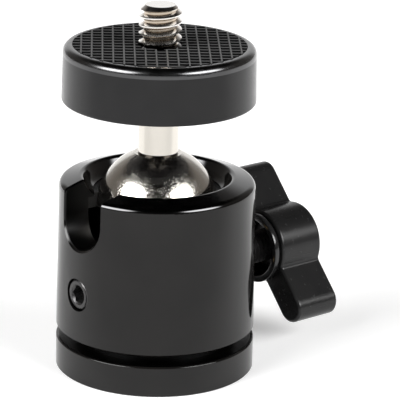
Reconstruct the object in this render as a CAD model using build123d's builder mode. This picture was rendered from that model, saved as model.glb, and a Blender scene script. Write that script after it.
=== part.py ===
from build123d import *
import os
from math import cos, pi, radians, sin, sqrt, tan

# Compact ball head: a ball stem with a camera screw stands in a round housing on a threaded base.
# Millimetres, +Z up along the camera screw. The wing knob's screw lies along +X and the drop notch
# opens towards -X. The origin is the centre of the underside, at the mouth of the tripod thread.

# Fits
RUNNING_GAP = 0.05          # radial play of turning and sliding pieces
BORE_GAP = 0.10             # radial play of the cup and the piston in the housing's bore

# Base plate, from the underside up
BASE_HEIGHT = 4.6
BASE_CHAMFER = 0.1          # edge of the underside
BASE_ROUND = 0.2            # edge of the top
GROOVE_HEIGHT = 1.65        # black gap between the base plate and the housing
GROOVE_DEPTH = 2.8
SPIGOT_LENGTH = 3.0
INSERT_RADIUS = 5.0
INSERT_LENGTH = 7.4
TRIPOD_THREAD_CORE = 2.6    # wall radius of the 1/4"-20 hole
TRIPOD_THREAD_RELIEF = 0.6  # free depth above the insert
SPANNER_HOLES = 2
SPANNER_HOLE_RADIUS = 1.25
SPANNER_HOLE_DEPTH = 2.5
SPANNER_HOLE_WALL = 2.6     # from the insert to the middle of a spanner hole

# Clamp stack inside the housing
FLOOR_GAP = 0.75            # free travel below the lift piston
PISTON_HEIGHT = 6.7
SPRING_THICKNESS = 0.5      # wave spring, pressed flat while the ball is locked
CUP_HEIGHT = 2.8
BALL_SINK = 1.55            # ball's lowest point below the underside of the cup

# Ball and stem
BALL_RADIUS = 9.15
BALL_FLAT_RADIUS = 3.55
STEM_RADIUS = 3.05
STEM_TENON_RADIUS = 2.5
STEM_TENON_LENGTH = 7.0
STEM_UNDERCUT = 0.12        # groove where the stem leaves the ball
STEM_UNDERCUT_HEIGHT = 0.15

# Housing
HOUSING_RADIUS = 15.0
HOUSING_TAPER = 0.3         # radius lost from the underside up to the shoulder
HOUSING_CHAMFER = 0.3
SEAT_WALL = 1.45            # wall of the seat ring at the ball's middle
LIP_GAP = 0.45              # from the ball to the lip that holds the seat ring down
LIP_RISE = 2.0              # underside of the lip above the ball's centre
LIP_HEIGHT = 0.7
RIM_RISE = 4.88             # crest of the rim above the ball's centre
RIM_FUNNEL_WIDTH = 1.95     # from the lip out to the crest
RIM_FUNNEL_SLOPE = 22.0     # angle below level where the funnel meets the lip
RIM_CREST_ROUND = 0.6
RIM_CREST_SLOPE = 64.0      # angle below level on the funnel's side of the crest
RIM_LAND_SLOPE = 15.6       # angle below level from the crest out to the shoulder
RIM_SHOULDER_ROUND = 0.95
NOTCH_SIDE_GAP = 1.1        # from the dropped stem to each side of the notch
NOTCH_CUP_STEP = 0.7        # from the rim of the cup up to the floor of the notch
NOTCH_CHAMFER = 0.35

# Seat ring above the ball
SEAT_START_RISE = 0.3
SEAT_LIP_GAP = 0.05
SEAT_TOP_INSET = 0.15       # top of the seat ring below the top of the lip

# Clamp screw, wedge and knob along +X
CLAMP_DROP = 2.35           # from the top of the piston down to the screw's axis
WEDGE_RADIUS = 2.05
WEDGE_TIP = 6.9             # wedge tip, from the ball's axis
WEDGE_TIP_DROP = 0.95       # wedge tip below the screw's axis
WEDGE_ANGLE = 30.0
WEDGE_SIDE_GAP = 0.15
BUSH_RADIUS = 3.3
BUSH_INSET = 0.1
GUIDE_LENGTH = 1.45         # plain bore that carries the wedge
SPOTFACE_RADIUS = 4.0
SPOTFACE_DEPTH = 0.6
CLAMP_SCREW_RADIUS = 2.5
SCREW_STEP_GAP = 0.1
KNOB_STANDOFF = 5.5         # from the housing's side to the hub
HUB_RADIUS = 5.65
HUB_LENGTH = 7.9
WING_REACH = 13.4           # from the screw's axis to a wing tip
WING_THICKNESS = 4.8
WING_ROOT_FILLET = 0.8
KNOB_EDGE_ROUND = 0.45
KNOB_PARK_ANGLE = 47.0      # wings against +Y while the ball is locked
COLLAR_FLANGE_WALL = 0.55   # flange beyond the collar's tube
COLLAR_FLANGE_HEIGHT = 0.8
COLLAR_FLANGE_GAP = 0.6     # dark gap between the flange and the hub
COLLAR_TUBE_RADIUS = 5.0
COLLAR_WALL = 0.45
COLLAR_DEPTH = 3.2          # seat of the collar inside the hub
KNOB_INSERT_RADIUS = 3.4
KNOB_INSERT_STEP = 1.2      # insert stands this far out into the collar
KNOB_INSERT_LENGTH = 5.6

# Guide screw along -X
GUIDE_SCREW_RADIUS = 2.5
GUIDE_SCREW_DROP = 0.65     # below the clamp screw's axis
GUIDE_SCREW_INSET = 0.35    # socket end inside the housing's side
GUIDE_SCREW_BORE_INSET = 0.3
GUIDE_POINT_RADIUS = 1.5
GUIDE_SLOT_DEPTH = 1.9
GUIDE_SLOT_END_GAP = 0.6
SOCKET_FLATS = 2.5
SOCKET_DEPTH = 2.0

# Lift piston and wave spring
PISTON_BALL_GAP = 0.8
PISTON_CHAMFER = 0.4
SPRING_RIM_INSET = 0.6
SPRING_WIDTH = 3.0

# Platform
DROP_GAP = 1.45             # platform to the housing's side when the stem lies in the notch
PLATFORM_RADIUS = 14.45
PLATFORM_TAPER = 0.2
PLATFORM_HEIGHT = 8.45
PLATFORM_SHOULDER = 1.1     # rounding of the top edge
PLATFORM_EDGE_ROUND = 0.4
STEM_SINK = 1.0             # plain stem that enters the platform before its thread starts
STEM_THREAD_LENGTH = 3.5
CAMERA_SCREW_RADIUS = 3.175
CAMERA_SCREW_PROJECTION = 6.0
CAMERA_SCREW_CHAMFER = 0.9
CAMERA_SCREW_RELIEF = 0.5   # depth of the neck inside the pad's hole
PAD_SURROUND = 1.6          # platform's rim outside the pad
PAD_THICKNESS = 1.0
PAD_PROUD = 0.1
PAD_HOLE_GAP = 0.1
PAD_RIM_GAP = 0.05
LOCK_NUT_FLATS = 10.0
LOCK_NUT_HEIGHT = 2.2
LOCK_NUT_POCKET_GAP = 0.5
LOCK_NUT_TOP_GAP = 0.15

# Heights, from the underside up
HOUSING_BOTTOM = BASE_HEIGHT + GROOVE_HEIGHT
SPIGOT_TOP = HOUSING_BOTTOM + SPIGOT_LENGTH
PISTON_BOTTOM = SPIGOT_TOP + FLOOR_GAP
PISTON_TOP = PISTON_BOTTOM + PISTON_HEIGHT
CUP_BOTTOM = PISTON_TOP + SPRING_THICKNESS
CUP_TOP = CUP_BOTTOM + CUP_HEIGHT
BALL_CENTRE = CUP_BOTTOM - BALL_SINK + BALL_RADIUS
BALL_FLAT = BALL_CENTRE + sqrt(BALL_RADIUS**2 - BALL_FLAT_RADIUS**2)
LIP_BOTTOM = BALL_CENTRE + LIP_RISE
LIP_TOP = LIP_BOTTOM + LIP_HEIGHT
RIM_TOP = BALL_CENTRE + RIM_RISE
PLATFORM_BOTTOM = BALL_CENTRE + HOUSING_RADIUS + DROP_GAP
PLATFORM_TOP = PLATFORM_BOTTOM + PLATFORM_HEIGHT
PAD_TOP = PLATFORM_TOP + PAD_PROUD
PAD_BOTTOM = PAD_TOP - PAD_THICKNESS
STEM_TOP = PLATFORM_BOTTOM + STEM_SINK + STEM_THREAD_LENGTH
CAMERA_SCREW_TOP = PAD_TOP + CAMERA_SCREW_PROJECTION
LOCK_NUT_TOP = PAD_BOTTOM - LOCK_NUT_TOP_GAP
LOCK_NUT_BOTTOM = LOCK_NUT_TOP - LOCK_NUT_HEIGHT
CLAMP_HEIGHT = PISTON_TOP - CLAMP_DROP
GUIDE_SCREW_HEIGHT = CLAMP_HEIGHT - GUIDE_SCREW_DROP

# Radii about the ball's axis
BORE_RADIUS = BALL_RADIUS + SEAT_WALL
LIP_RADIUS = BALL_RADIUS + LIP_GAP
CREST_RADIUS = LIP_RADIUS + RIM_FUNNEL_WIDTH
SHOULDER_RADIUS = HOUSING_RADIUS - HOUSING_TAPER
LAND_WIDTH = SHOULDER_RADIUS - RIM_SHOULDER_ROUND - CREST_RADIUS
LAND_DROP = (RIM_SHOULDER_ROUND - RIM_CREST_ROUND) / cos(radians(RIM_LAND_SLOPE))
SHOULDER_HEIGHT = (
    RIM_TOP - RIM_CREST_ROUND - LAND_WIDTH * tan(radians(RIM_LAND_SLOPE)) - LAND_DROP
)
SLIDING_RADIUS = BORE_RADIUS - BORE_GAP
SPIGOT_RADIUS = BORE_RADIUS
GROOVE_FLOOR_RADIUS = HOUSING_RADIUS - GROOVE_DEPTH
SOCKET_SPHERE = BALL_RADIUS + RUNNING_GAP
NOTCH_HALF_WIDTH = STEM_RADIUS + NOTCH_SIDE_GAP
NOTCH_AXIS = CUP_TOP + NOTCH_CUP_STEP + NOTCH_HALF_WIDTH
PAD_RADIUS = PLATFORM_RADIUS - PAD_SURROUND
PISTON_HOLE_RADIUS = sqrt(SOCKET_SPHERE**2 - (BALL_CENTRE - CUP_BOTTOM) ** 2) + PISTON_BALL_GAP

# Stations along the clamp screw, from the ball's axis
SPOTFACE = HOUSING_RADIUS - SPOTFACE_DEPTH
BUSH_INNER = BORE_RADIUS + BUSH_INSET
GUIDE_END = BUSH_INNER + GUIDE_LENGTH
SCREW_TIP = GUIDE_END + SCREW_STEP_GAP
HUB_INNER = HOUSING_RADIUS + KNOB_STANDOFF
FLANGE_OUTER = HUB_INNER - COLLAR_FLANGE_GAP
FLANGE_INNER = FLANGE_OUTER - COLLAR_FLANGE_HEIGHT
COLLAR_END = HUB_INNER + COLLAR_DEPTH
COLLAR_FLOOR = COLLAR_END - COLLAR_WALL
KNOB_INSERT_INNER = COLLAR_FLOOR - KNOB_INSERT_STEP
KNOB_INSERT_OUTER = KNOB_INSERT_INNER + KNOB_INSERT_LENGTH
GUIDE_SCREW_OUTER = HOUSING_RADIUS - GUIDE_SCREW_INSET
GUIDE_SCREW_INNER = BORE_RADIUS + GUIDE_SCREW_BORE_INSET
GUIDE_POINT_END = SLIDING_RADIUS - GUIDE_SLOT_DEPTH + GUIDE_SLOT_END_GAP
SPANNER_HOLE_PITCH = INSERT_RADIUS + SPANNER_HOLE_WALL

CLAMP_AXIS = Axis((0, 0, CLAMP_HEIGHT), (1, 0, 0))
HEXAGON = 6                 # sides of nuts and sockets
MARGIN = 2.0                # how far a cutter runs past what it cuts


def across_clamp(station):
    """Plane square to the clamp screw, with +Y as its x and +Z as its y."""
    return Plane(origin=(station, 0, CLAMP_HEIGHT), x_dir=(0, 1, 0), z_dir=(1, 0, 0))


def across_guide(station):
    """Plane square to the guide screw that faces outwards along -X."""
    return Plane(origin=(-station, 0, GUIDE_SCREW_HEIGHT), x_dir=(0, -1, 0), z_dir=(-1, 0, 0))


def level(height):
    """Horizontal plane at a height above the underside."""
    return Plane.XY.offset(height)


def inward(fall):
    """Direction in the profile towards the axis, falling at an angle below level."""
    return (-cos(radians(fall)), -sin(radians(fall)))


os.makedirs("parts", exist_ok=True)

# Housing: bored from below up to the lip, with a rolled rim and a funnel down to the ball
with BuildPart() as housing:
    with BuildSketch(Plane.XZ):
        with BuildLine():
            Polyline(
                (LIP_RADIUS, LIP_TOP),
                (LIP_RADIUS, LIP_BOTTOM),
                (BORE_RADIUS, LIP_BOTTOM),
                (BORE_RADIUS, HOUSING_BOTTOM),
                (HOUSING_RADIUS - HOUSING_CHAMFER, HOUSING_BOTTOM),
                (HOUSING_RADIUS, HOUSING_BOTTOM + HOUSING_CHAMFER),
                (SHOULDER_RADIUS, SHOULDER_HEIGHT),
            )
            shoulder_arc = CenterArc(
                (SHOULDER_RADIUS - RIM_SHOULDER_ROUND, SHOULDER_HEIGHT),
                RIM_SHOULDER_ROUND,
                0,
                90 - RIM_LAND_SLOPE,
            )
            crest_arc = CenterArc(
                (CREST_RADIUS, RIM_TOP - RIM_CREST_ROUND),
                RIM_CREST_ROUND,
                90 - RIM_LAND_SLOPE,
                RIM_LAND_SLOPE + RIM_CREST_SLOPE,
            )
            Line(shoulder_arc @ 1, crest_arc @ 0)
            Spline(
                crest_arc @ 1,
                (LIP_RADIUS, LIP_TOP),
                tangents=[crest_arc % 1, inward(RIM_FUNNEL_SLOPE)],
            )
        make_face()
    revolve(axis=Axis.Z)
    with BuildSketch(Plane.YZ.offset(-HOUSING_RADIUS - MARGIN)):
        with BuildLine():
            Line((-NOTCH_HALF_WIDTH, RIM_TOP + MARGIN), (-NOTCH_HALF_WIDTH, NOTCH_AXIS))
            CenterArc((0, NOTCH_AXIS), NOTCH_HALF_WIDTH, 180, 180)
            Line((NOTCH_HALF_WIDTH, NOTCH_AXIS), (NOTCH_HALF_WIDTH, RIM_TOP + MARGIN))
            Line((NOTCH_HALF_WIDTH, RIM_TOP + MARGIN), (-NOTCH_HALF_WIDTH, RIM_TOP + MARGIN))
        make_face()
    extrude(amount=HOUSING_RADIUS + MARGIN, mode=Mode.SUBTRACT)
    notch_edges = housing.edges(Select.LAST).filter_by(Axis.X, reverse=True)
    chamfer(notch_edges.filter_by(lambda edge: edge.center().X < -CREST_RADIUS), NOTCH_CHAMFER)
    with BuildSketch(across_guide(0)):
        Circle(GUIDE_SCREW_RADIUS)
    extrude(amount=HOUSING_RADIUS + MARGIN, mode=Mode.SUBTRACT)
    with BuildSketch(across_clamp(0)):
        Circle(BUSH_RADIUS)
    extrude(amount=HOUSING_RADIUS + MARGIN, mode=Mode.SUBTRACT)
    with BuildSketch(across_clamp(SPOTFACE)):
        Circle(SPOTFACE_RADIUS)
    extrude(amount=SPOTFACE_DEPTH + MARGIN, mode=Mode.SUBTRACT)
housing.part.label = "housing"
export_step(housing.part, "parts/housing.step")

# Seat ring: the ball bears against it from below, and it is open where the notch is
with BuildPart() as upper_seat_ring:
    with BuildSketch(Plane.XZ):
        with BuildLine():
            Polyline(
                (0, BALL_CENTRE + SEAT_START_RISE),
                (BORE_RADIUS, BALL_CENTRE + SEAT_START_RISE),
                (BORE_RADIUS, LIP_BOTTOM),
                (LIP_RADIUS - SEAT_LIP_GAP, LIP_BOTTOM),
                (LIP_RADIUS - SEAT_LIP_GAP, LIP_TOP - SEAT_TOP_INSET),
                (0, LIP_TOP - SEAT_TOP_INSET),
                close=True,
            )
        make_face()
        with Locations((0, BALL_CENTRE)):
            Circle(SOCKET_SPHERE, mode=Mode.SUBTRACT)
    revolve(axis=Axis.Z)
    with BuildSketch(Plane.YZ):
        with Locations((0, BALL_CENTRE)):
            Rectangle(2 * NOTCH_HALF_WIDTH, 2 * RIM_RISE)
    extrude(amount=-BORE_RADIUS - MARGIN, mode=Mode.SUBTRACT)
upper_seat_ring.part.label = "upper_seat_ring"
export_step(upper_seat_ring.part, "parts/upper_seat_ring.step")

# Base plate: screwed into the bore by its spigot, bored for the steel insert
with BuildPart() as base_plate:
    with BuildSketch(Plane.XZ):
        with BuildLine():
            Polyline(
                (0, SPIGOT_TOP),
                (0, INSERT_LENGTH + TRIPOD_THREAD_RELIEF),
                (TRIPOD_THREAD_CORE, INSERT_LENGTH + TRIPOD_THREAD_RELIEF),
                (TRIPOD_THREAD_CORE, INSERT_LENGTH),
                (INSERT_RADIUS, INSERT_LENGTH),
                (INSERT_RADIUS, 0),
                (HOUSING_RADIUS - BASE_CHAMFER, 0),
                (HOUSING_RADIUS, BASE_CHAMFER),
                (HOUSING_RADIUS, BASE_HEIGHT - BASE_ROUND),
            )
            CenterArc((HOUSING_RADIUS - BASE_ROUND, BASE_HEIGHT - BASE_ROUND), BASE_ROUND, 0, 90)
            Polyline(
                (HOUSING_RADIUS - BASE_ROUND, BASE_HEIGHT),
                (GROOVE_FLOOR_RADIUS, BASE_HEIGHT),
                (GROOVE_FLOOR_RADIUS, HOUSING_BOTTOM),
                (SPIGOT_RADIUS, HOUSING_BOTTOM),
                (SPIGOT_RADIUS, SPIGOT_TOP),
                (0, SPIGOT_TOP),
            )
        make_face()
    revolve(axis=Axis.Z)
    with BuildSketch(Plane.XY):
        with PolarLocations(SPANNER_HOLE_PITCH, SPANNER_HOLES):
            Circle(SPANNER_HOLE_RADIUS)
    extrude(amount=SPANNER_HOLE_DEPTH, mode=Mode.SUBTRACT)
base_plate.part.label = "base_plate"
export_step(base_plate.part, "parts/base_plate.step")

# Steel insert that takes the tripod's screw
with BuildPart() as base_thread_insert:
    with BuildSketch(level(0)):
        Circle(INSERT_RADIUS)
        Circle(TRIPOD_THREAD_CORE, mode=Mode.SUBTRACT)
    extrude(amount=INSERT_LENGTH)
base_thread_insert.part.label = "base_thread_insert"
export_step(base_thread_insert.part, "parts/base_thread_insert.step")

# Guide screw: its point runs in the piston's slot and keeps the piston from turning
with BuildPart() as guide_screw:
    with BuildSketch(across_guide(GUIDE_SCREW_INNER)):
        Circle(GUIDE_SCREW_RADIUS)
    extrude(amount=GUIDE_SCREW_OUTER - GUIDE_SCREW_INNER)
    with BuildSketch(across_guide(GUIDE_POINT_END)):
        Circle(GUIDE_POINT_RADIUS)
    extrude(amount=GUIDE_SCREW_INNER - GUIDE_POINT_END)
    with BuildSketch(across_guide(GUIDE_SCREW_OUTER)):
        RegularPolygon(SOCKET_FLATS / 2, HEXAGON, major_radius=False)
    extrude(amount=-SOCKET_DEPTH, mode=Mode.SUBTRACT)
guide_screw.part.label = "guide_screw"
export_step(guide_screw.part, "parts/guide_screw.step")

# Bush in the housing's wall: thread for the clamp screw outside, plain bore for the wedge inside
with BuildPart() as clamp_bush:
    with BuildSketch(across_clamp(BUSH_INNER)):
        Circle(BUSH_RADIUS)
    extrude(amount=SPOTFACE - BUSH_INNER)
    with BuildSketch(across_clamp(BUSH_INNER)):
        Circle(WEDGE_RADIUS + RUNNING_GAP)
    extrude(amount=GUIDE_LENGTH, mode=Mode.SUBTRACT)
    with BuildSketch(across_clamp(GUIDE_END)):
        Circle(CLAMP_SCREW_RADIUS + RUNNING_GAP)
    extrude(amount=SPOTFACE - GUIDE_END, mode=Mode.SUBTRACT)
clamp_bush.part.label = "clamp_bush"
export_step(clamp_bush.part, "parts/clamp_bush.step")

# Cup below the ball
with BuildPart() as ball_cup:
    with BuildSketch(level(CUP_BOTTOM)):
        Circle(SLIDING_RADIUS)
    extrude(amount=CUP_HEIGHT)
    with Locations((0, 0, BALL_CENTRE)):
        Sphere(SOCKET_SPHERE, mode=Mode.SUBTRACT)
ball_cup.part.label = "ball_cup"
export_step(ball_cup.part, "parts/ball_cup.step")

# Wave spring between the piston and the cup
with BuildPart() as preload_wave_spring:
    with BuildSketch(level(PISTON_TOP)):
        Circle(SLIDING_RADIUS - SPRING_RIM_INSET)
        Circle(SLIDING_RADIUS - SPRING_RIM_INSET - SPRING_WIDTH, mode=Mode.SUBTRACT)
    extrude(amount=SPRING_THICKNESS)
preload_wave_spring.part.label = "preload_wave_spring"
export_step(preload_wave_spring.part, "parts/preload_wave_spring.step")

# Lift piston: the wedge runs under a sloped slot in it and raises it against the ball
with BuildPart() as lift_piston:
    with BuildSketch(level(PISTON_BOTTOM)):
        Circle(SLIDING_RADIUS)
        Circle(PISTON_HOLE_RADIUS, mode=Mode.SUBTRACT)
    extrude(amount=PISTON_HEIGHT)
    chamfer(lift_piston.edges().group_by(Axis.Z)[0].sort_by(SortBy.RADIUS)[-1], PISTON_CHAMFER)
    with BuildSketch(Plane.XZ.offset(-WEDGE_RADIUS - WEDGE_SIDE_GAP)):
        with BuildLine():
            Polyline(
                (0, PISTON_BOTTOM - MARGIN),
                (SLIDING_RADIUS + MARGIN, PISTON_BOTTOM - MARGIN),
                (
                    SLIDING_RADIUS + MARGIN,
                    CLAMP_HEIGHT
                    - WEDGE_TIP_DROP
                    + (SLIDING_RADIUS + MARGIN - WEDGE_TIP) * tan(radians(WEDGE_ANGLE)),
                ),
                (WEDGE_TIP, CLAMP_HEIGHT - WEDGE_TIP_DROP),
                (0, CLAMP_HEIGHT - WEDGE_TIP_DROP),
                close=True,
            )
        make_face()
    extrude(amount=2 * (WEDGE_RADIUS + WEDGE_SIDE_GAP), mode=Mode.SUBTRACT)
    with BuildSketch(level(PISTON_BOTTOM)):
        with Locations((-SLIDING_RADIUS, 0)):
            Rectangle(2 * GUIDE_SLOT_DEPTH, 2 * (GUIDE_POINT_RADIUS + RUNNING_GAP))
    extrude(amount=PISTON_HEIGHT, mode=Mode.SUBTRACT)
lift_piston.part.label = "lift_piston"
export_step(lift_piston.part, "parts/lift_piston.step")

# Wedge pin: the clamp screw pushes it inwards and its sloped end lifts the piston
with BuildPart() as wedge_pin:
    with BuildSketch(across_clamp(WEDGE_TIP)):
        Circle(WEDGE_RADIUS)
    extrude(amount=SCREW_TIP - WEDGE_TIP)
    with BuildSketch(Plane.XZ.offset(-WEDGE_RADIUS - MARGIN)):
        with BuildLine():
            Polyline(
                (WEDGE_TIP, CLAMP_HEIGHT - WEDGE_TIP_DROP),
                (
                    BORE_RADIUS,
                    CLAMP_HEIGHT
                    - WEDGE_TIP_DROP
                    + (BORE_RADIUS - WEDGE_TIP) * tan(radians(WEDGE_ANGLE)),
                ),
                (BORE_RADIUS, CLAMP_HEIGHT + WEDGE_RADIUS + MARGIN),
                (WEDGE_TIP, CLAMP_HEIGHT + WEDGE_RADIUS + MARGIN),
                close=True,
            )
        make_face()
    extrude(amount=2 * (WEDGE_RADIUS + MARGIN), mode=Mode.SUBTRACT)
wedge_pin.part.label = "wedge_pin"
export_step(wedge_pin.part, "parts/wedge_pin.step")

# Clamp screw, from the wedge to the knob's insert
with BuildPart() as clamp_screw:
    with BuildSketch(across_clamp(SCREW_TIP)):
        Circle(CLAMP_SCREW_RADIUS)
    extrude(amount=KNOB_INSERT_OUTER - SCREW_TIP)
clamp_screw.part.label = "clamp_screw"
export_step(clamp_screw.part, "parts/clamp_screw.step")

# Wing knob: hub and two blades in one moulding, hollow on the inner side for collar and insert
with BuildPart() as wing_knob:
    wing_plane = Plane(
        origin=(HUB_INNER, 0, CLAMP_HEIGHT),
        x_dir=(0, cos(radians(KNOB_PARK_ANGLE)), sin(radians(KNOB_PARK_ANGLE))),
        z_dir=(1, 0, 0),
    )
    with BuildSketch(wing_plane) as knob_outline:
        SlotOverall(2 * WING_REACH, WING_THICKNESS)
        Circle(HUB_RADIUS)
        wing_roots = knob_outline.vertices().sort_by_distance((0, 0, 0))[:4]
        fillet(wing_roots, WING_ROOT_FILLET)
    extrude(amount=HUB_LENGTH)
    inner_edges = wing_knob.edges().group_by(Axis.X)[0]
    outer_edges = wing_knob.edges().group_by(Axis.X)[-1]
    fillet(inner_edges + outer_edges, KNOB_EDGE_ROUND)
    with BuildSketch(across_clamp(HUB_INNER)):
        Circle(COLLAR_TUBE_RADIUS)
    extrude(amount=COLLAR_DEPTH, mode=Mode.SUBTRACT)
    with BuildSketch(across_clamp(COLLAR_END)):
        Circle(KNOB_INSERT_RADIUS)
    extrude(amount=KNOB_INSERT_OUTER - COLLAR_END, mode=Mode.SUBTRACT)
wing_knob.part.label = "wing_knob"
export_step(wing_knob.part, "parts/wing_knob.step")

# Collar pressed into the hub, with a flange that faces the housing
with BuildPart() as knob_collar:
    with BuildSketch(Plane.XZ):
        with BuildLine():
            Polyline(
                (FLANGE_INNER, CLAMP_HEIGHT + COLLAR_TUBE_RADIUS - COLLAR_WALL),
                (FLANGE_INNER, CLAMP_HEIGHT + COLLAR_TUBE_RADIUS + COLLAR_FLANGE_WALL),
                (FLANGE_OUTER, CLAMP_HEIGHT + COLLAR_TUBE_RADIUS + COLLAR_FLANGE_WALL),
                (FLANGE_OUTER, CLAMP_HEIGHT + COLLAR_TUBE_RADIUS),
                (COLLAR_END, CLAMP_HEIGHT + COLLAR_TUBE_RADIUS),
                (COLLAR_END, CLAMP_HEIGHT + KNOB_INSERT_RADIUS),
                (COLLAR_FLOOR, CLAMP_HEIGHT + KNOB_INSERT_RADIUS),
                (COLLAR_FLOOR, CLAMP_HEIGHT + COLLAR_TUBE_RADIUS - COLLAR_WALL),
                close=True,
            )
        make_face()
    revolve(axis=CLAMP_AXIS)
knob_collar.part.label = "knob_collar"
export_step(knob_collar.part, "parts/knob_collar.step")

# Insert that holds the clamp screw in the knob
with BuildPart() as knob_insert:
    with BuildSketch(across_clamp(KNOB_INSERT_INNER)):
        Circle(KNOB_INSERT_RADIUS)
        Circle(CLAMP_SCREW_RADIUS, mode=Mode.SUBTRACT)
    extrude(amount=KNOB_INSERT_LENGTH)
knob_insert.part.label = "knob_insert"
export_step(knob_insert.part, "parts/knob_insert.step")

# Ball, flattened where the stem stands on it
with BuildPart() as ball:
    with Locations((0, 0, BALL_CENTRE)):
        Sphere(BALL_RADIUS)
    with BuildSketch(level(BALL_FLAT)):
        Circle(BALL_RADIUS)
    extrude(amount=BALL_RADIUS, mode=Mode.SUBTRACT)
    with BuildSketch(level(BALL_FLAT)):
        Circle(STEM_TENON_RADIUS + RUNNING_GAP)
    extrude(amount=-STEM_TENON_LENGTH, mode=Mode.SUBTRACT)
ball.part.label = "ball"
export_step(ball.part, "parts/ball.step")

# Stem: tenon in the ball, neck, and a thread that carries the platform
with BuildPart() as stem:
    with BuildSketch(Plane.XZ):
        with BuildLine():
            Polyline(
                (0, BALL_FLAT - STEM_TENON_LENGTH),
                (STEM_TENON_RADIUS, BALL_FLAT - STEM_TENON_LENGTH),
                (STEM_TENON_RADIUS, BALL_FLAT),
                (STEM_RADIUS - STEM_UNDERCUT, BALL_FLAT),
                (STEM_RADIUS - STEM_UNDERCUT, BALL_FLAT + STEM_UNDERCUT_HEIGHT),
                (STEM_RADIUS, BALL_FLAT + STEM_UNDERCUT_HEIGHT + STEM_UNDERCUT),
                (STEM_RADIUS, PLATFORM_BOTTOM + STEM_SINK),
                (CAMERA_SCREW_RADIUS, PLATFORM_BOTTOM + STEM_SINK),
                (CAMERA_SCREW_RADIUS, STEM_TOP),
                (0, STEM_TOP),
                close=True,
            )
        make_face()
    revolve(axis=Axis.Z)
stem.part.label = "stem"
export_step(stem.part, "parts/stem.step")

# Platform: a turned disc with a recess for the pad and a pocket for the lock nut
with BuildPart() as platform:
    with BuildSketch(Plane.XZ) as platform_half:
        with BuildLine():
            Polyline(
                (CAMERA_SCREW_RADIUS, PLATFORM_BOTTOM),
                (PLATFORM_RADIUS, PLATFORM_BOTTOM),
                (PLATFORM_RADIUS - PLATFORM_TAPER, PLATFORM_TOP),
                (CAMERA_SCREW_RADIUS, PLATFORM_TOP),
                close=True,
            )
        make_face()
        rim_corners = platform_half.vertices().group_by(Axis.X)
        fillet(rim_corners[-1], PLATFORM_EDGE_ROUND)
        top_corner = platform_half.vertices().filter_by(
            lambda v: v.X > PLATFORM_RADIUS - PLATFORM_TAPER - RUNNING_GAP
        ).sort_by(Axis.Y)[-1]
        fillet(top_corner, PLATFORM_SHOULDER)
    revolve(axis=Axis.Z)
    with BuildSketch(level(PAD_BOTTOM)):
        Circle(PAD_RADIUS + PAD_RIM_GAP)
    extrude(amount=PAD_THICKNESS, mode=Mode.SUBTRACT)
    with BuildSketch(level(LOCK_NUT_BOTTOM)):
        Circle(LOCK_NUT_FLATS / 2 / cos(pi / HEXAGON) + LOCK_NUT_POCKET_GAP)
    extrude(amount=PLATFORM_TOP - LOCK_NUT_BOTTOM, mode=Mode.SUBTRACT)
platform.part.label = "platform"
export_step(platform.part, "parts/platform.step")

# Lock nut under the pad
with BuildPart() as platform_lock_nut:
    with BuildSketch(level(LOCK_NUT_BOTTOM)):
        RegularPolygon(LOCK_NUT_FLATS / 2, HEXAGON, major_radius=False)
        Circle(CAMERA_SCREW_RADIUS, mode=Mode.SUBTRACT)
    extrude(amount=LOCK_NUT_HEIGHT)
platform_lock_nut.part.label = "platform_lock_nut"
export_step(platform_lock_nut.part, "parts/platform_lock_nut.step")

# Camera screw: 1/4"-20, necked down inside the pad's hole and standing out of the pad
with BuildPart() as camera_screw:
    with BuildSketch(level(STEM_TOP)):
        Circle(CAMERA_SCREW_RADIUS)
    extrude(amount=CAMERA_SCREW_TOP - STEM_TOP)
    chamfer(camera_screw.edges().group_by(Axis.Z)[-1], CAMERA_SCREW_CHAMFER)
    with BuildSketch(level(LOCK_NUT_TOP)):
        Circle(CAMERA_SCREW_RADIUS)
        Circle(CAMERA_SCREW_RADIUS - CAMERA_SCREW_RELIEF, mode=Mode.SUBTRACT)
    extrude(amount=PAD_TOP - LOCK_NUT_TOP, mode=Mode.SUBTRACT)
camera_screw.part.label = "camera_screw"
export_step(camera_screw.part, "parts/camera_screw.step")

# Grip pad
with BuildPart() as grip_pad:
    with BuildSketch(level(PAD_BOTTOM)):
        Circle(PAD_RADIUS)
        Circle(CAMERA_SCREW_RADIUS + PAD_HOLE_GAP, mode=Mode.SUBTRACT)
    extrude(amount=PAD_THICKNESS)
grip_pad.part.label = "grip_pad"
export_step(grip_pad.part, "parts/grip_pad.step")
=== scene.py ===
import bpy
from math import cos, pi, radians, sin
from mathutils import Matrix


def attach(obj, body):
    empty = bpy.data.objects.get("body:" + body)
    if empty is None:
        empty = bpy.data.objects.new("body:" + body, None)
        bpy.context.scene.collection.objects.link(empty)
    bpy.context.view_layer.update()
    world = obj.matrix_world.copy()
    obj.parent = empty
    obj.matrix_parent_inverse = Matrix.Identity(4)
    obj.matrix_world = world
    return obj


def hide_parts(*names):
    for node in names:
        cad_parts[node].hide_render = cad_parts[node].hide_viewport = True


# Compact ball head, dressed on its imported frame. Pieces are modelled in millimetres in the frame's
# own place and brought to metres when they are settled on their body.
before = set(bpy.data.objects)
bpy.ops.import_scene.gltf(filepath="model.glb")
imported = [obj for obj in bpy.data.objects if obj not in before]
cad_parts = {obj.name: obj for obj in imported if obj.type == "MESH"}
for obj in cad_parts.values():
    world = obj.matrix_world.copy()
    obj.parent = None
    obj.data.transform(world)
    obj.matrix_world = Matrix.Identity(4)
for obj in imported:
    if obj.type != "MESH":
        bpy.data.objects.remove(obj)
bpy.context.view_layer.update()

MM = 0.001
MERGE_DISTANCE = 0.0005
SAW_THRESHOLD = 0.0001
THREAD_STEPS = 48
# Edges that are sharper than these angles, in degrees, look sharp or get rounded
SHARP_ANGLE = 32
ROUNDED_ANGLE = 35

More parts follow.
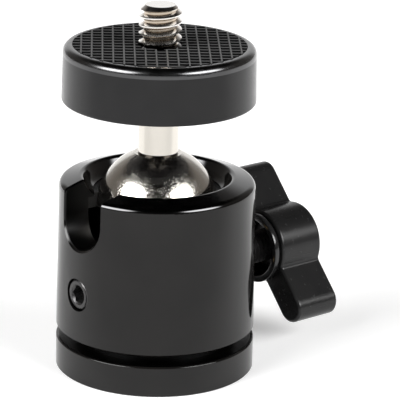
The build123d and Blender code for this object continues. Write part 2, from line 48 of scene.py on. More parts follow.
# Heights and stations of the frame, in millimetres
CLAMP_HEIGHT = 14.35
GUIDE_SCREW_HEIGHT = 13.7
BALL_FLAT = 33.35
PAD_TOP = 49.8
PAD_BOTTOM = 48.8
PAD_THICKNESS = PAD_TOP - PAD_BOTTOM
PAD_RADIUS = 12.85
PAD_HOLE = 3.275
CAMERA_SCREW_FOOT = 45.9
CAMERA_SCREW_NECK = 48.65
CAMERA_SCREW_TOP = 55.8
INSERT_RADIUS = 5.0
INSERT_LENGTH = 7.4
CLAMP_SCREW_FOOT = 12.25
CLAMP_SCREW_HEAD = 27.65
GUIDE_SCREW_FOOT = 10.9
GUIDE_SCREW_FACE = 14.65
HEX_HALF_WIDTH = 1.25

# 1/4"-20 thread
QUARTER_CREST = 3.175
QUARTER_ROOT = 2.45
QUARTER_TAP_ROOT = 2.6
QUARTER_PITCH = 1.27
# M5 thread
FIVE_CREST = 2.5
FIVE_ROOT = 2.02
FIVE_PITCH = 0.8
# Shares of the pitch that are flat at a thread's crest and root
CREST_SHARE = 0.15
ROOT_SHARE = 0.22
# How a crest is eased: where it leaves the flank, as shares of the slope, and how far it drops
EASE_BELOW = 0.93
EASE_BEYOND = 1.07
EASE_DROP = 0.05
EASE_STEP = 0.01
# How far a blank stands clear of the crests that it leaves whole
BLANK_CLEAR = 0.1

# Where the housing and the base plate get painted shade in notch and groove, dark and rough, and
# where their rim is polished
HOLLOW_RADIUS = 14.55
GROOVE_TOP = 6.3
NOTCH_WALL = 4.3
NOTCH_REACH = 6.0
RIM_LOW = 28.35
# Where the platform's wall ends and its turned edge starts
PLATFORM_EDGE = 48.2
# A height between the insert in the base and the camera screw, which share a finish
ABOVE_INSERT = 40

# Net of the grip pad
NET_PITCH = 1.56
NET_CELLS = 18
NET_TURN = -37.1
NET_SHIFT = -0.65
RIB_INSET = 0.10
RIB_SLOPE = 0.08
RIB_DEPTH = 0.25

# Most of a noise's values lie between these two
GRAIN_LOW = 0.3
GRAIN_HIGH = 0.7
# Painted shade, a dark colour laid in the joints of ball, neck and camera screw
PAINTED_JOINT_SHADE = (0.05, 0.045, 0.04)
DULL_ROUGHNESS = 0.35

# The camera stands at this azimuth, in degrees from -Y
VIEW_AZIMUTH = -38.6
CAMERA_LENS = 234.333
CAMERA_PLACE = (-0.23119, -0.28960, 0.14655)
CAMERA_TURN = (71.9490, -1.3054, -39.1676)

WHITE = (1, 1, 1, 1)
# Tones of the room from the camera's side to the far side
ROOM_TONES = [
    (0.00, (0.03, 0.03, 0.03)), (0.12, (0.04, 0.04, 0.04)), (0.34, (0.08, 0.075, 0.07)),
    (0.52, (0.13, 0.12, 0.11)), (0.80, (0.20, 0.185, 0.17)), (0.91, (0.30, 0.29, 0.28)),
    (0.95, (1.0, 1.0, 1.0)), (1.00, (1.0, 1.0, 1.0)),
]
# From here to the far side, reflections show the white backdrop
BACKDROP_LEVEL = 0.955
# The room dims between these two heights of a direction, down to a share of its tones
CEILING_LOW = 0.45
CEILING_HIGH = 0.74
CEILING_SHARE = 0.07
# Each lamp's azimuth from the camera's side, elevation, half width, half height and power
LAMPS = [(-56, 31, 0.58, 0.36, 14.0), (57, 30, 0.54, 0.32, 14.0)]
# How squarely a lamp's edge runs, and how fast its glow falls off
LAMP_SQUARENESS = 3
LAMP_FALLOFF = 3

FLOOR_COLOUR = (0.82, 0.82, 0.82, 1)
FLOOR_DROP = 0.00005
# What the floor adds to its own light where the camera sees it, to be white
FLOOR_WHITE = 0.34
# Painted reflection: white that the floor adds only in reflections, graded from 50 mm behind the
# head's axis to 130 mm before it, with none just before the head
FLOOR_BEHIND = -0.05
FLOOR_BEFORE = 0.13
PAINTED_REFLECTION_TONES = [
    (0.00, (0.34, 0.34, 0.34)), (0.25, (0.30, 0.30, 0.30)), (0.45, (0.0, 0.0, 0.0)),
    (0.70, (0.0, 0.0, 0.0)), (0.92, (0.12, 0.12, 0.12)),
]


# ---------------------------------------------------------------- ways of working

def put_down():
    """Leaves edit mode and lets go of everything."""
    if bpy.context.object and bpy.context.object.mode != "OBJECT":
        bpy.ops.object.mode_set(mode="OBJECT")
    bpy.ops.object.select_all(action="DESELECT")


def take(piece):
    """Selects one piece and makes it the active one."""
    put_down()
    piece.select_set(True)
    bpy.context.view_layer.objects.active = piece


def fix_place(piece):
    """Brings a piece's place, turn and size into its mesh."""
    take(piece)
    bpy.ops.object.transform_apply(location=True, rotation=True, scale=True)


def hold_all():
    """Selects the whole mesh in edit mode."""
    bpy.ops.mesh.select_all(action="SELECT")


def draw_line(corners):
    """Draws a line of corners (radius, height) by drawing each one out from the last."""
    put_down()
    bpy.ops.mesh.primitive_plane_add(size=1)
    bpy.ops.object.mode_set(mode="EDIT")
    hold_all()
    bpy.ops.mesh.merge(type="CENTER")
    here = (0, 0)
    for count, corner in enumerate(corners):
        move = (corner[0] - here[0], 0, corner[1] - here[1])
        if count == 0:
            bpy.ops.transform.translate(value=move)
        else:
            bpy.ops.mesh.extrude_vertices_move(TRANSFORM_OT_translate={"value": move})
        here = corner
    return bpy.context.object


def turn(corners, steps=96):
    """Turns a line of corners about the z axis into a closed form."""
    piece = draw_line(corners)
    hold_all()
    bpy.ops.mesh.remove_doubles(threshold=MERGE_DISTANCE)
    hold_all()
    bpy.ops.mesh.spin(steps=steps, angle=2 * pi, center=(0, 0, 0), axis=(0, 0, 1))
    hold_all()
    bpy.ops.mesh.remove_doubles(threshold=MERGE_DISTANCE)
    bpy.ops.mesh.normals_make_consistent(inside=False)
    bpy.ops.object.mode_set(mode="OBJECT")
    return piece


def work(piece, kind, **settings):
    """Adds one modifier and applies it."""
    take(piece)
    step = piece.modifiers.new(kind, kind)
    for name, value in settings.items():
        setattr(step, name, value)
    bpy.ops.object.modifier_apply(modifier=step.name)


def cut(piece, tool, operation="DIFFERENCE"):
    """Cuts a piece with a tool, joins both or keeps what they share, and puts the tool away."""
    work(piece, "BOOLEAN", object=tool, operation=operation, solver="EXACT")
    bpy.data.objects.remove(tool)


def round_edges(piece, width):
    """Rounds every edge that is sharper than ROUNDED_ANGLE."""
    work(piece, "BEVEL", width=width, segments=3, limit_method="ANGLE",
         angle_limit=radians(ROUNDED_ANGLE), use_clamp_overlap=True)


def thread(crest, root, pitch, low, high, phase):
    """A right-handed threaded rod along z, sawn off at both ends.

    At azimuth 0 a crest stands at the height given as phase.
    """
    turns = int((high - low) / pitch) + 5
    start = low - 2 * pitch
    start += (phase - start) % pitch - pitch / 2
    crest_flat = pitch * CREST_SHARE
    root_flat = pitch * ROOT_SHARE
    slope = (pitch - crest_flat - root_flat) / 2
    foot = start + root_flat / 2
    piece = draw_line([
        (root, start),
        (root, foot),
        (crest - EASE_DROP, foot + slope * EASE_BELOW),
        (crest, foot + slope + EASE_STEP),
        (crest, foot + slope + crest_flat - EASE_STEP),
        (crest - EASE_DROP, foot + slope * EASE_BEYOND + crest_flat),
        (root, foot + 2 * slope + crest_flat),
        (root, start + pitch),
    ])
    bpy.ops.object.mode_set(mode="OBJECT")
    work(piece, "SCREW", axis="Z", angle=2 * pi, screw_offset=pitch, iterations=turns,
         steps=THREAD_STEPS, render_steps=THREAD_STEPS, use_merge_vertices=True,
         merge_threshold=MERGE_DISTANCE, use_smooth_shade=False)
    bpy.ops.object.mode_set(mode="EDIT")
    hold_all()
    bpy.ops.mesh.remove_doubles(threshold=MERGE_DISTANCE)
    hold_all()
    bpy.ops.mesh.bisect(plane_co=(0, 0, high), plane_no=(0, 0, 1), use_fill=True,
                        clear_outer=True, threshold=SAW_THRESHOLD)
    hold_all()
    bpy.ops.mesh.bisect(plane_co=(0, 0, low), plane_no=(0, 0, 1), use_fill=True,
                        clear_inner=True, threshold=SAW_THRESHOLD)
    hold_all()
    bpy.ops.mesh.normals_make_consistent(inside=False)
    bpy.ops.object.mode_set(mode="OBJECT")
    return piece


def lay_along_x(piece, height, outwards=1):
    """Lays a piece that was made along z along the x axis, outwards to +X or to -X."""
    piece.rotation_euler = (0, outwards * pi / 2, 0)
    piece.location = (0, 0, height)
    fix_place(piece)


def settle(piece, name, body, slot, finish, *nodes):
    """Brings a finished piece to metres, gives it its finish and puts it on its body."""
    piece.scale = (MM, MM, MM)
    fix_place(piece)
    bpy.ops.object.shade_smooth_by_angle(angle=radians(SHARP_ANGLE))
    piece.name = name
    piece.data.name = name
    piece.data.materials.clear()
    piece.data.materials.append(finish)
    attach(piece, body)
    if nodes:
        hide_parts(*nodes)
    put_down()


# ---------------------------------------------------------------- values in a node tree

def feed(tree, shader, socket, value):
    """Lets a value drive one of a shader's sockets."""
    tree.links.new(value, shader.inputs[socket])


def maths(tree, operation, first, second):
    """One step of arithmetic. Each of the two is a number or a value in the tree."""
    node = tree.nodes.new("ShaderNodeMath")
    node.operation = operation
    for socket, value in zip(node.inputs, (first, second)):
        if isinstance(value, (int, float)):
            socket.default_value = value
        else:
            tree.links.new(value, socket)
    return node.outputs[0]


def spread(tree, value, low, high, to_low, to_high):
    """Brings a value from one span to another."""
    node = tree.nodes.new("ShaderNodeMapRange")
    node.inputs["From Min"].default_value = low
    node.inputs["From Max"].default_value = high
    node.inputs["To Min"].default_value = to_low
    node.inputs["To Max"].default_value = to_high
    tree.links.new(value, node.inputs["Value"])
    return node.outputs["Result"]


def soft_step(tree, value, low, high, to_low, to_high):
    """Brings a value from one span to another, slowly at both ends."""
    result = spread(tree, value, low, high, to_low, to_high)
    result.node.interpolation_type = "SMOOTHSTEP"
    return result


def blend(tree, value, first, second):
    """Blends two colours. The first may also come from the tree, the second is a plain colour."""
    node = tree.nodes.new("ShaderNodeMix")
    node.data_type = "RGBA"
    if isinstance(first, tuple):
        node.inputs["A"].default_value = (*first, 1)
    else:
        tree.links.new(first, node.inputs["A"])
    node.inputs["B"].default_value = (*second, 1)
    tree.links.new(value, node.inputs["Factor"])
    return node.outputs["Result"]


def graded(tree, value, tones):
    """A colour that passes through tones, each a place from 0 to 1 and a colour."""
    ramp = tree.nodes.new("ShaderNodeValToRGB")
    stops = ramp.color_ramp.elements
    while len(stops) < len(tones):
        stops.new(0.5)
    for stop, (position, colour) in zip(stops, tones):
        stop.position = position
        stop.color = (*colour, 1)
    tree.links.new(value, ramp.inputs["Fac"])
    return ramp.outputs["Color"]


def axis(tree, place, name):
    """One coordinate of a place."""
    split = tree.nodes.new("ShaderNodeSeparateXYZ")
    tree.links.new(place, split.inputs["Vector"])
    return split.outputs[name]


def along(tree, place, way):
    """How far a place or a direction reaches along a way."""
    dot = tree.nodes.new("ShaderNodeVectorMath")
    dot.operation = "DOT_PRODUCT"
    dot.inputs[1].default_value = way
    tree.links.new(place, dot.inputs[0])
    return dot.outputs["Value"]


def reach(tree, place):
    """Distance from the z axis."""
    flat = tree.nodes.new("ShaderNodeVectorMath")
    flat.operation = "MULTIPLY"
    flat.inputs[1].default_value = (1, 1, 0)
    tree.links.new(place, flat.inputs[0])
    length = tree.nodes.new("ShaderNodeVectorMath")
    length.operation = "LENGTH"
    tree.links.new(flat.outputs["Vector"], length.inputs[0])
    return length.outputs["Value"]


def grain(tree, place, size, detail=3.0, stretch=(1, 1, 1)):
    """Noise whose grains are about size millimetres across, stretched along the axes."""
    mapping = tree.nodes.new("ShaderNodeMapping")
    mapping.inputs["Scale"].default_value = tuple(1 / value for value in stretch)
    noise = tree.nodes.new("ShaderNodeTexNoise")
    noise.inputs["Scale"].default_value = 1 / (size * MM)
    noise.inputs["Detail"].default_value = detail
    tree.links.new(place, mapping.inputs["Vector"])
    tree.links.new(mapping.outputs["Vector"], noise.inputs["Vector"])
    return noise.outputs["Fac"]


def wander(tree, place, size, low, high, **look):
    """A value that wanders from low to high in grains of a size."""
    return spread(tree, grain(tree, place, size, **look), GRAIN_LOW, GRAIN_HIGH, low, high)


def turned_marks(tree, place, size):
    """Fine rings about the z axis, as a lathe tool leaves them."""
    rings = tree.nodes.new("ShaderNodeCombineXYZ")
    tree.links.new(reach(tree, place), rings.inputs["X"])
    tree.links.new(axis(tree, place, "Z"), rings.inputs["Z"])
    noise = tree.nodes.new("ShaderNodeTexNoise")
    noise.inputs["Scale"].default_value = 1 / (size * MM)
    noise.inputs["Detail"].default_value = 2.0
    tree.links.new(rings.outputs["Vector"], noise.inputs["Vector"])
    return noise.outputs["Fac"]


def relief(tree, shader, value, strength, depth, under=None):
    """Raises the surface by a value, depth in millimetres, on top of a relief under it."""
    bump = tree.nodes.new("ShaderNodeBump")
    bump.inputs["Strength"].default_value = strength
    bump.inputs["Distance"].default_value = depth * MM
    tree.links.new(value, bump.inputs["Height"])
    if under is not None:
        tree.links.new(under, bump.inputs["Normal"])
    feed(tree, shader, "Normal", bump.outputs["Normal"])
    return bump.outputs["Normal"]


# ---------------------------------------------------------------- finishes

def new_finish(name):
    """A material with its node tree, its shader and the object's own coordinates."""
    finish = bpy.data.materials.new(name)
    finish.use_nodes = True
    tree = finish.node_tree
    place = tree.nodes.new("ShaderNodeTexCoord")
    return finish, tree, tree.nodes["Principled BSDF"], place.outputs["Object"]


def gloss_black():
    """Gloss black outside, polished at the rim, and dark and rough with painted shade where notch
    and groove are milled.
    """
    finish, tree, shader, place = new_finish("gloss_black_anodised")
    height = axis(tree, place, "Z")
    inside = maths(tree, "LESS_THAN", reach(tree, place), HOLLOW_RADIUS * MM)
    low = maths(tree, "LESS_THAN", height, GROOVE_TOP * MM)
    groove = maths(tree, "MULTIPLY", inside, low)
    beside = maths(tree, "ABSOLUTE", axis(tree, place, "Y"), 0)
    between = maths(tree, "LESS_THAN", beside, NOTCH_WALL * MM)
    ahead = maths(tree, "LESS_THAN", axis(tree, place, "X"), -NOTCH_REACH * MM)
    notch = maths(tree, "MULTIPLY", maths(tree, "MULTIPLY", inside, between), ahead)
    # Painted shade: notch and groove take a near-black metal colour and a rough finish that stand in
    # for the shade in them
    recess_shade_and_matt = maths(tree, "MAXIMUM", groove, notch)
    rim = maths(tree, "GREATER_THAN", height, RIM_LOW * MM)
    cloud = blend(tree, grain(tree, place, 7.0), (0.002, 0.002, 0.002), (0.009, 0.0082, 0.0078))
    colour = blend(tree, rim, cloud, (0.058, 0.058, 0.059))
    # The near-black colour here is the painted shade of notch and groove
    feed(tree, shader, "Base Color", blend(tree, recess_shade_and_matt, colour, (0.012, 0.012, 0.012)))
    feed(tree, shader, "Metallic", maths(tree, "MAXIMUM", recess_shade_and_matt, rim))
    smear = wander(tree, place, 2.5, 0.07, 0.12, detail=4.0, stretch=(1, 1, 3))
    matt = maths(tree, "MULTIPLY", recess_shade_and_matt, DULL_ROUGHNESS)
    feed(tree, shader, "Roughness", maths(tree, "MAXIMUM", smear, matt))
    shader.inputs["IOR"].default_value = 1.39
    first = relief(tree, shader, turned_marks(tree, place, 0.12), 0.10, 0.004)
    relief(tree, shader, grain(tree, place, 0.35), 0.05, 0.004, under=first)
    return finish


def satin_black():
    """Satin black with a brighter turned edge above the wall."""
    finish, tree, shader, place = new_finish("satin_black_anodised")
    edge = maths(tree, "GREATER_THAN", axis(tree, place, "Z"), PLATFORM_EDGE * MM)
    cloud = blend(tree, grain(tree, place, 5.0), (0.003, 0.003, 0.0034), (0.011, 0.0108, 0.0112))
    feed(tree, shader, "Base Color", blend(tree, edge, cloud, (0.10, 0.10, 0.102)))
    feed(tree, shader, "Metallic", edge)
    feed(tree, shader, "Roughness", wander(tree, place, 1.2, 0.17, 0.24))
    shader.inputs["IOR"].default_value = 1.38
    first = relief(tree, shader, turned_marks(tree, place, 0.10), 0.15, 0.006)
    relief(tree, shader, grain(tree, place, 0.14), 0.22, 0.010, under=first)
    return finish


def nickel():
    """Plating over a rough casting, whose fine spots catch the lamps. Dark at the flat on top, as
    painted shade under the neck.
    """
    finish, tree, shader, place = new_finish("nickel")
    # Painted shade: the flat on top, under the neck, is darkened
    painted_shade_mask = maths(tree, "GREATER_THAN", axis(tree, place, "Z"), (BALL_FLAT - 0.04) * MM)
    plating = blend(tree, grain(tree, place, 3.0), (0.76, 0.73, 0.68), (0.66, 0.63, 0.58))
    feed(tree, shader, "Base Color", blend(tree, painted_shade_mask, plating, PAINTED_JOINT_SHADE))
    shader.inputs["Metallic"].default_value = 1.0
    feed(tree, shader, "Roughness", wander(tree, place, 0.8, 0.08, 0.12, detail=5.0))
    spots = spread(tree, grain(tree, place, 0.14, detail=0.0), 0.60, 0.74, 0.0, 1.0)
    relief(tree, shader, spots, 0.6, 0.012)
    return finish


def plated_neck():
    """Bright plating, darkened by painted shade where it meets the ball."""
    finish, tree, shader, place = new_finish("nickel_neck")
    # Painted shade: the foot of the neck, where it meets the ball, is darkened
    painted_shade_mask = maths(tree, "LESS_THAN", axis(tree, place, "Z"), (BALL_FLAT + 0.12) * MM)
    plating = blend(tree, grain(tree, place, 1.6, stretch=(1, 1, 4)), (0.76, 0.725, 0.665),
                    (0.66, 0.625, 0.565))
    feed(tree, shader, "Base Color", blend(tree, painted_shade_mask, plating, PAINTED_JOINT_SHADE))
    shader.inputs["Metallic"].default_value = 1.0
    feed(tree, shader, "Roughness", wander(tree, place, 0.6, 0.10, 0.18))
    relief(tree, shader, grain(tree, place, 0.22, detail=4.0), 0.20, 0.006)
    return finish


def stainless():
    """Bright steel, with painted shade: browner towards the roots of the quarter-inch thread, and
    dark in the pad.
    """
    finish, tree, shader, place = new_finish("stainless")
    height = axis(tree, place, "Z")
    bright = blend(tree, grain(tree, place, 0.9), (0.92, 0.90, 0.87), (0.82, 0.79, 0.75))
    # Painted shade: the thread is browner towards its roots, below the top
    depth = spread(tree, reach(tree, place), QUARTER_ROOT * MM, (QUARTER_CREST - 0.2) * MM,
                   1.0, 0.0)
    below = maths(tree, "LESS_THAN", height, (CAMERA_SCREW_TOP - 0.6) * MM)
    root_shaded = blend(tree, maths(tree, "MULTIPLY", depth, below), bright, (0.50, 0.43, 0.35))
    # Painted shade: the screw is dark where it passes through the pad, above the insert
    pad_shade_mask = maths(tree, "MULTIPLY", maths(tree, "GREATER_THAN", height, ABOVE_INSERT * MM),
                 maths(tree, "LESS_THAN", height, (PAD_TOP + 0.1) * MM))
    feed(tree, shader, "Base Color", blend(tree, pad_shade_mask, root_shaded, PAINTED_JOINT_SHADE))
    shader.inputs["Metallic"].default_value = 1.0
    feed(tree, shader, "Roughness", wander(tree, place, 0.5, 0.10, 0.18))
    relief(tree, shader, grain(tree, place, 0.3, detail=2.0), 0.1, 0.008)
    return finish


def rubber():
    """Black rubber, greyer on top of its ribs."""
    finish, tree, shader, place = new_finish("rubber_black")
    top = spread(tree, axis(tree, place, "Z"), (PAD_TOP - 0.06) * MM, PAD_TOP * MM, 0.0, 1.0)
    feed(tree, shader, "Base Color",
         blend(tree, top, (0.003, 0.003, 0.0032), (0.095, 0.095, 0.095)))
    feed(tree, shader, "Roughness", wander(tree, place, 0.4, 0.45, 0.60))
    shader.inputs["IOR"].default_value = 1.15
    relief(tree, shader, grain(tree, place, 0.12), 0.3, 0.02)
    return finish


def clouded(name, first, second, low, high, sizes, strength, depth):
    """A finish with a faint cloud in its colour and gloss, and fine grain, of three sizes."""
    finish, tree, shader, place = new_finish(name)
    cloud, patch, fine = sizes
    feed(tree, shader, "Base Color", blend(tree, grain(tree, place, cloud), first, second))
    feed(tree, shader, "Roughness", wander(tree, place, patch, low, high))
    relief(tree, shader, grain(tree, place, fine), strength, depth)
    return finish, shader


def metal(name, first, second, low, high):
    """A bare turned metal."""
    finish, shader = clouded(name, first, second, low, high, (1.6, 0.8, 0.16), 0.2, 0.01)
    shader.inputs["Metallic"].default_value = 1.0
    return finish


def black_plastic(name, first, second, low, high, strength, bend=1.5):
    """A black moulding with fine grain."""
    finish, shader = clouded(name, first, second, low, high, (3.0, 0.7, 0.16), strength, 0.012)
    shader.inputs["IOR"].default_value = bend
    return finish


def black_oxide():
    """Blackened steel."""
    finish, shader = clouded("black_oxide", (0.045, 0.045, 0.048), (0.075, 0.072, 0.07),
                             0.24, 0.38, (0.6, 0.4, 0.1), 0.2, 0.01)
    shader.inputs["Metallic"].default_value = 0.8
    return finish


# ---------------------------------------------------------------- pieces

def camera_screw(finish):
    """1/4"-20 screw with a turned-down end and a neck where it passes through the pad."""
    piece = thread(QUARTER_CREST, QUARTER_ROOT, QUARTER_PITCH, CAMERA_SCREW_FOOT - 0.2,
                   CAMERA_SCREW_TOP + 0.2, phase=50.93)
    wide = QUARTER_CREST + BLANK_CLEAR
    blank = turn([
        (0, CAMERA_SCREW_FOOT), (wide, CAMERA_SCREW_FOOT), (wide, CAMERA_SCREW_NECK),
        (2.67, CAMERA_SCREW_NECK), (wide, CAMERA_SCREW_NECK + 0.45),
        (wide, CAMERA_SCREW_TOP - 0.95), (2.33, CAMERA_SCREW_TOP - 0.05),
        (2.26, CAMERA_SCREW_TOP), (0, CAMERA_SCREW_TOP),
    ])
    cut(piece, blank, "INTERSECT")
    settle(piece, "camera_screw_threaded", "stem_body", "stainless", finish, "camera_screw")


def clamp_screw(finish):
    """M5 screw between the bush and the knob."""
    piece = thread(FIVE_CREST, FIVE_ROOT, FIVE_PITCH, 12.0, 28.0, phase=13.0)
    blank = turn([
        (0, CLAMP_SCREW_FOOT), (2.1, CLAMP_SCREW_FOOT), (FIVE_CREST + 0.05, 12.7),
        (FIVE_CREST + 0.05, 27.4), (2.25, CLAMP_SCREW_HEAD), (0, CLAMP_SCREW_HEAD),
    ])
    cut(piece, blank, "INTERSECT")
    lay_along_x(piece, CLAMP_HEIGHT)
    settle(piece, "clamp_screw_threaded", "knob_body", "black_oxide", finish, "clamp_screw")


def tripod_insert(finish):
    """Steel insert, countersunk below and tapped 1/4"-20 right through."""
    piece = turn([
        (0, 0.9), (2.4, 0.9), (3.3, 0), (INSERT_RADIUS, 0), (INSERT_RADIUS, INSERT_LENGTH),
        (0, INSERT_LENGTH),
    ])
    cut(piece, thread(QUARTER_CREST, QUARTER_TAP_ROOT, QUARTER_PITCH, -1.1, 9.1, phase=0.4))
    settle(piece, "tripod_insert_tapped", "housing_body", "stainless", finish, "base_thread_insert")


def guide_screw(finish):
    """M5 socket set screw with a chamfered socket end and a plain point."""
    piece = thread(FIVE_CREST, FIVE_ROOT, FIVE_PITCH, 10.7, 14.85, phase=11.2)
    blank = turn([
        (0, GUIDE_SCREW_FOOT), (2.1, GUIDE_SCREW_FOOT), (FIVE_CREST, 11.3), (FIVE_CREST, 14.2),
        (2.12, 14.6), (2.0, GUIDE_SCREW_FACE), (0, GUIDE_SCREW_FACE),
    ])
    cut(piece, blank, "INTERSECT")
    put_down()
    bpy.ops.mesh.primitive_cylinder_add(vertices=6, radius=HEX_HALF_WIDTH / cos(pi / 6),
                                        depth=4.0, location=(0, 0, GUIDE_SCREW_FACE))
    socket = bpy.context.object
    fix_place(socket)
    cut(piece, socket)
    mouth = [(0, 14.35), (HEX_HALF_WIDTH, 14.35), (1.62, 14.7), (1.62, 15.0), (0, 15.0)]
    cut(piece, turn(mouth, steps=48))
    point = [(0, 9.2), (1.3, 9.2), (1.5, 9.4), (1.5, 11.2), (0, 11.2)]
    cut(piece, turn(point, steps=48), "UNION")
    lay_along_x(piece, GUIDE_SCREW_HEIGHT, outwards=-1)
    settle(piece, "guide_screw_socketed", "housing_body", "black_oxide", finish, "guide_screw")


def grip_pad(finish):
    """Rubber pad moulded with a square net of fine raised ribs."""
    put_down()
    bpy.ops.mesh.primitive_grid_add(x_subdivisions=NET_CELLS, y_subdivisions=NET_CELLS,
                                    size=NET_CELLS * NET_PITCH)
    piece = bpy.context.object
    bpy.ops.object.mode_set(mode="EDIT")
    hold_all()
    bpy.ops.transform.translate(value=(NET_SHIFT, 0, -2 * PAD_THICKNESS))
    rise = {"value": (0, 0, 2 * PAD_THICKNESS)}
    bpy.ops.mesh.extrude_region_move(TRANSFORM_OT_translate=rise)
    bpy.ops.mesh.inset(thickness=RIB_INSET, use_individual=True)
    bpy.ops.mesh.inset(thickness=RIB_SLOPE, depth=-RIB_DEPTH, use_individual=True)
    hold_all()
    bpy.ops.mesh.normals_make_consistent(inside=False)
    bpy.ops.object.mode_set(mode="OBJECT")
    piece.rotation_euler = (0, 0, radians(NET_TURN))
    piece.location = (0, 0, PAD_TOP)
    fix_place(piece)
    blank = turn([
        (PAD_HOLE, PAD_BOTTOM), (PAD_RADIUS, PAD_BOTTOM), (PAD_RADIUS, PAD_TOP + 0.5),
        (PAD_HOLE, PAD_TOP + 0.5), (PAD_HOLE, PAD_BOTTOM),
    ], steps=128)
    cut(piece, blank, "INTERSECT")
    settle(piece, "grip_pad_ribbed", "stem_body", "rubber_black", finish, "grip_pad")


def knob_collar(finish):
    """Turned collar with rounded edges on its flange."""
    piece = turn([
        (4.55, 19.1), (5.55, 19.1), (5.55, 19.9), (5.0, 19.9), (5.0, 23.7), (3.4, 23.7),
        (3.4, 23.25), (4.55, 23.25), (4.55, 19.1),
    ])
    round_edges(piece, 0.12)
    lay_along_x(piece, CLAMP_HEIGHT)
    settle(piece, "knob_collar_turned", "knob_body", "collar_black", finish, "knob_collar")


# ---------------------------------------------------------------- the frame's own pieces

def dress(node, finish):
    """Gives a piece of the frame its finish."""
    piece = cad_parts[node]
    if not piece.material_slots:
        piece.data.materials.append(finish)
    for place in piece.material_slots:
        place.material = finish


# ---------------------------------------------------------------- studio

def mirrored_ray(tree, path):
    """Whether a ray comes from a reflection or through glass."""
    return maths(tree, "MAXIMUM", path.outputs["Is Glossy Ray"],
                 path.outputs["Is Transmission Ray"])


def studio_floor():
    """A pale floor that is white where the camera sees it, and keeps the shadow. Reflections see a
    painted glow on it that is graded by where it lies.
    """
    put_down()
    bpy.ops.mesh.primitive_plane_add(size=6, location=(0, 0, -FLOOR_DROP))
    floor = bpy.context.object
    floor.name = "studio_floor"
    fix_place(floor)
    paper, tree, shader, place = new_finish("studio_paper")
    shader.inputs["Base Color"].default_value = FLOOR_COLOUR
    shader.inputs["Roughness"].default_value = 0.9
    shader.inputs["Specular IOR Level"].default_value = 0.1
    shader.inputs["Emission Color"].default_value = WHITE
    path = tree.nodes.new("ShaderNodeLightPath")
    heading = radians(VIEW_AZIMUTH - 90)
    before = along(tree, place, (cos(heading), sin(heading), 0))
    nearness = spread(tree, before, FLOOR_BEHIND, FLOOR_BEFORE, 0, 1)
    seen = maths(tree, "MULTIPLY", path.outputs["Is Camera Ray"], FLOOR_WHITE)
    # Painted reflection: a glow that only reflected rays see, graded by how far before the head the
    # floor lies
    mirrored = maths(tree, "MULTIPLY", mirrored_ray(tree, path),
                     graded(tree, nearness, PAINTED_REFLECTION_TONES))
    feed(tree, shader, "Emission Strength", maths(tree, "ADD", seen, mirrored))
    floor.data.materials.append(paper)


def softbox(tree, place, azimuth, elevation, half_width, half_height, power):
    """A lamp in the room, brightest in its middle, at an azimuth from the camera's side."""
    heading = radians(azimuth + VIEW_AZIMUTH - 90)
    lift = radians(elevation)
    ahead = (cos(lift) * cos(heading), cos(lift) * sin(heading), sin(lift))
    across = (-sin(heading), cos(heading), 0)
    upward = (-sin(lift) * cos(heading), -sin(lift) * sin(heading), cos(lift))
    depth = along(tree, place, ahead)
    offsets = []
    for way, half_size in ((across, half_width), (upward, half_height)):
        offset = maths(tree, "DIVIDE", along(tree, place, way), depth)
        share = maths(tree, "DIVIDE", maths(tree, "ABSOLUTE", offset, 0), half_size)
        offsets.append(maths(tree, "POWER", share, LAMP_SQUARENESS))
    glow = soft_step(tree, maths(tree, "ADD", *offsets), 0.0, 1.0, 1, 0)
    glow = maths(tree, "POWER", glow, LAMP_FALLOFF)
    in_front = maths(tree, "GREATER_THAN", depth, 0.05)
    return maths(tree, "MULTIPLY", glow, maths(tree, "MULTIPLY", in_front, power))


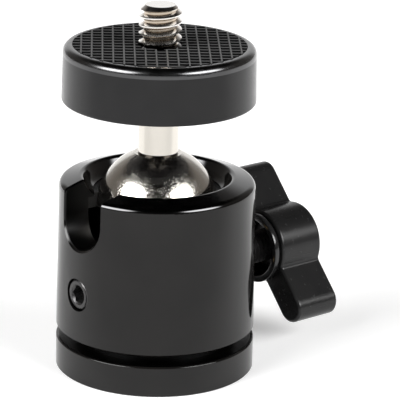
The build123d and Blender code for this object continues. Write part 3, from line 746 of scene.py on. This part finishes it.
def studio_room():
    """White behind, warm grey at the sides, dark before the head, and two soft lamps."""
    world = bpy.data.worlds.new("studio_room")
    bpy.context.scene.world = world
    world.use_nodes = True
    tree = world.node_tree
    tree.nodes.clear()
    place = tree.nodes.new("ShaderNodeTexCoord").outputs["Generated"]
    heading = radians(VIEW_AZIMUTH + 90)
    level = spread(tree, along(tree, place, (cos(heading), sin(heading), 0)), -1, 1, 0, 1)
    dim = soft_step(tree, along(tree, place, (0, 0, 1)), CEILING_LOW, CEILING_HIGH, 1.0,
                    CEILING_SHARE)
    room = tree.nodes.new("ShaderNodeBackground")
    feed(tree, room, "Color", graded(tree, level, ROOM_TONES))
    feed(tree, room, "Strength", dim)
    lamps = tree.nodes.new("ShaderNodeBackground")
    lamps.inputs["Color"].default_value = WHITE
    glows = [softbox(tree, place, *lamp) for lamp in LAMPS]
    feed(tree, lamps, "Strength", maths(tree, "ADD", *glows))
    lit = tree.nodes.new("ShaderNodeAddShader")
    tree.links.new(room.outputs["Background"], lit.inputs[0])
    tree.links.new(lamps.outputs["Background"], lit.inputs[1])
    white = tree.nodes.new("ShaderNodeBackground")
    white.inputs["Color"].default_value = WHITE
    path = tree.nodes.new("ShaderNodeLightPath")
    backdrop = maths(tree, "GREATER_THAN", level, BACKDROP_LEVEL)
    mirrored = maths(tree, "MULTIPLY", mirrored_ray(tree, path), backdrop)
    either = tree.nodes.new("ShaderNodeMixShader")
    feed(tree, either, "Fac", maths(tree, "MAXIMUM", path.outputs["Is Camera Ray"], mirrored))
    tree.links.new(lit.outputs["Shader"], either.inputs[1])
    tree.links.new(white.outputs["Background"], either.inputs[2])
    out = tree.nodes.new("ShaderNodeOutputWorld")
    tree.links.new(either.outputs["Shader"], out.inputs["Surface"])


def studio_camera():
    """A long lens, a little above the head and to the left of its front."""
    eye = bpy.data.cameras.new("studio_camera")
    eye.lens = CAMERA_LENS
    eye.sensor_width = 36.0
    eye.clip_start = 0.01
    camera = bpy.data.objects.new("studio_camera", eye)
    bpy.context.scene.collection.objects.link(camera)
    camera.location = CAMERA_PLACE
    camera.rotation_euler = [radians(angle) for angle in CAMERA_TURN]
    bpy.context.scene.camera = camera


# ---------------------------------------------------------------- the whole head

steel = stainless()
gloss = gloss_black()
nylon = black_plastic("nylon_black", (0.004, 0.004, 0.004), (0.008, 0.008, 0.008), 0.40, 0.55,
                      0.25, bend=1.30)
moulding = black_plastic("knob_black", (0.009, 0.009, 0.0095), (0.016, 0.0157, 0.0155), 0.20, 0.28,
                         0.12, bend=1.36)
collar = black_plastic("collar_black", (0.010, 0.010, 0.0105), (0.018, 0.018, 0.018), 0.10, 0.16,
                       0.05)
brass = metal("brass", (0.74, 0.52, 0.25), (0.62, 0.42, 0.19), 0.22, 0.36)
aluminium = metal("bare_aluminium", (0.72, 0.72, 0.74), (0.62, 0.62, 0.64), 0.26, 0.4)
spring = metal("spring_steel", (0.48, 0.48, 0.50), (0.38, 0.38, 0.40), 0.22, 0.34)
oxide = black_oxide()

camera_screw(steel)
clamp_screw(oxide)
tripod_insert(steel)
guide_screw(oxide)
grip_pad(rubber())
knob_collar(collar)

dress("housing", gloss)
dress("base_plate", gloss)
dress("platform", satin_black())
dress("ball", nickel())
dress("stem", plated_neck())
dress("wing_knob", moulding)
dress("upper_seat_ring", nylon)
dress("ball_cup", nylon)
dress("clamp_bush", brass)
dress("knob_insert", oxide)
dress("wedge_pin", brass)
dress("platform_lock_nut", steel)
dress("lift_piston", aluminium)
dress("preload_wave_spring", spring)

studio_floor()
studio_room()
studio_camera()
bpy.context.scene.view_settings.view_transform = "Standard"
